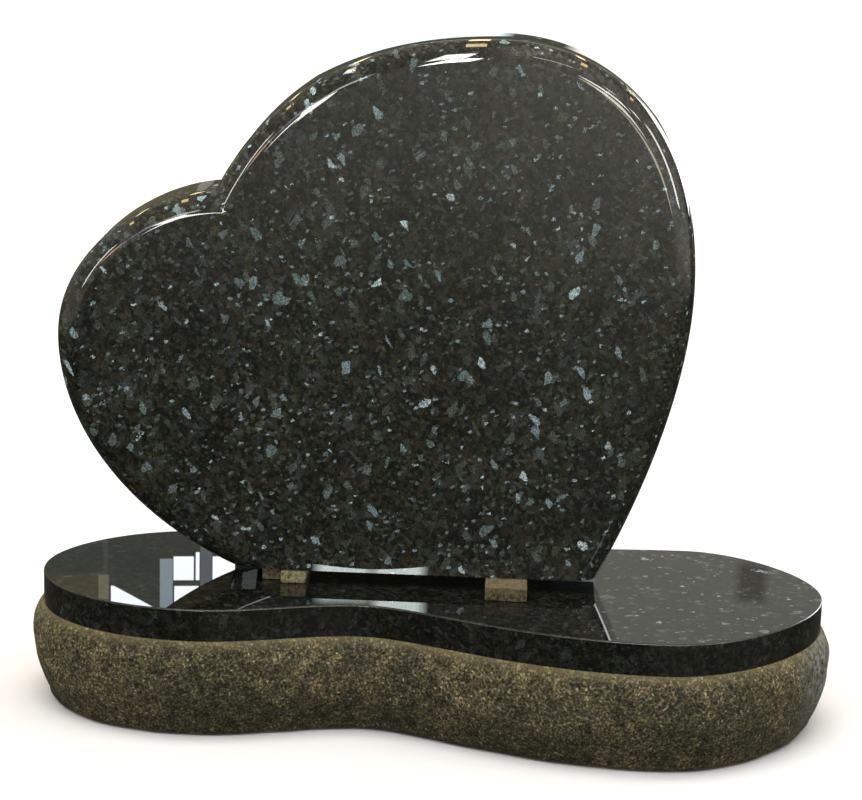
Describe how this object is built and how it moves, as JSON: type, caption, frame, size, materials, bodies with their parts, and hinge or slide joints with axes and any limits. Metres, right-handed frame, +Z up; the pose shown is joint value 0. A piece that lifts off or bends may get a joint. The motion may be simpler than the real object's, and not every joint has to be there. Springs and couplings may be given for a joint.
{
  "type": "headstone",
  "caption": "Leaning heart headstone of polished dark granite with a rounded front edge, packed up on a kidney-shaped base with a polished top and a rough-worked body.",
  "frame": {"origin": "middle of the base's underside, on the surface that the headstone stands on", "axes": "+X along the base to the viewer's right, +Y from the carved front towards the back, +Z up"},
  "size_m": [0.9234, 0.37, 0.7755],
  "materials": {
    "base_granite": "rough-worked body, mirror-polished top and band",
    "polished_granite": "mirror polish, dark ground with silver-blue feldspar flecks",
    "packing_wood": "rough sawn, unfinished"
  },
  "bodies": {
    "root": {"base": "base_granite", "heart_tablet": "polished_granite", "packing_block_left_outer": "packing_wood", "packing_block_left_inner": "packing_wood", "packing_block_right": "packing_wood"}
  },
  "joints": []
}
